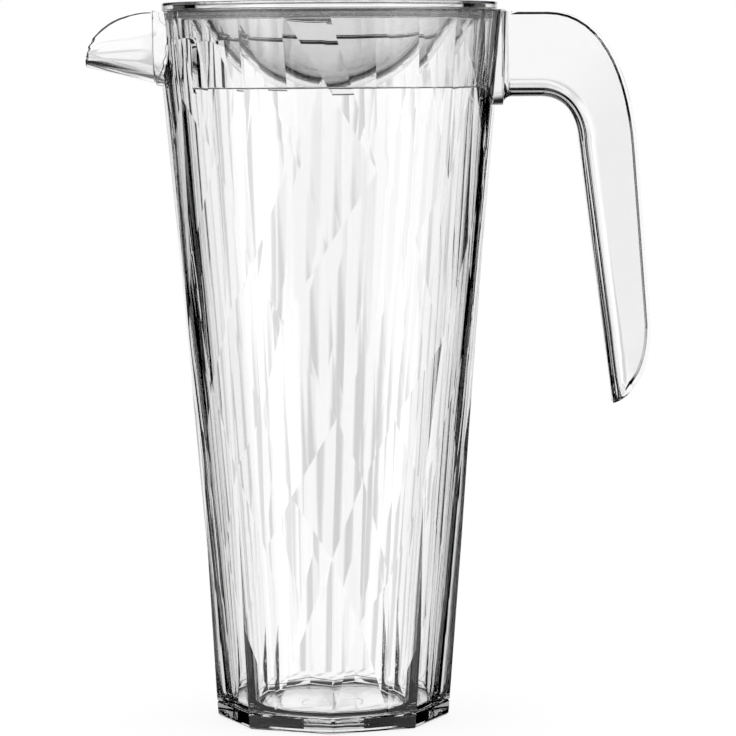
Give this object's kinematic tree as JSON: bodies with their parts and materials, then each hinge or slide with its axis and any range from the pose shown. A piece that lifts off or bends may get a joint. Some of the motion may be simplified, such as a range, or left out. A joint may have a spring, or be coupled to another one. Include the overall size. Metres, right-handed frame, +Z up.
{
  "type": "water pitcher",
  "caption": "Tall clear plastic water pitcher with a facet-cut tapered wall, open trough spout, free-ended channel handle and a sunk-grip lid that turns to open the spout.",
  "frame": {"origin": "centre of the flat underside, on the vessel's axis", "axes": "+Z up along the vessel's axis, the spout towards -X and the handle towards +X, so that the picture looks along +Y"},
  "size_m": [0.203, 0.1272, 0.2595],
  "materials": {
    "clear_plastic": "polished, clear",
    "clear_plastic_lid": "polished, clear",
    "clear_silicone": "soft, translucent"
  },
  "bodies": {
    "pitcher": {"pitcher_body": "clear_plastic"},
    "seal": {"lid_seal": "clear_silicone"},
    "lid": {"lid": "clear_plastic_lid"}
  },
  "joints": [
    {"name": "lid_lift", "type": "slide", "parent": "pitcher", "child": "seal", "axis": [0, 0, 1], "range_m": [0, 0.06]},
    {"name": "lid_turn", "type": "hinge", "parent": "seal", "child": "lid", "pos_m": [0, 0, 0.2569], "axis": [0, 0, 1], "continuous": true}
  ]
}
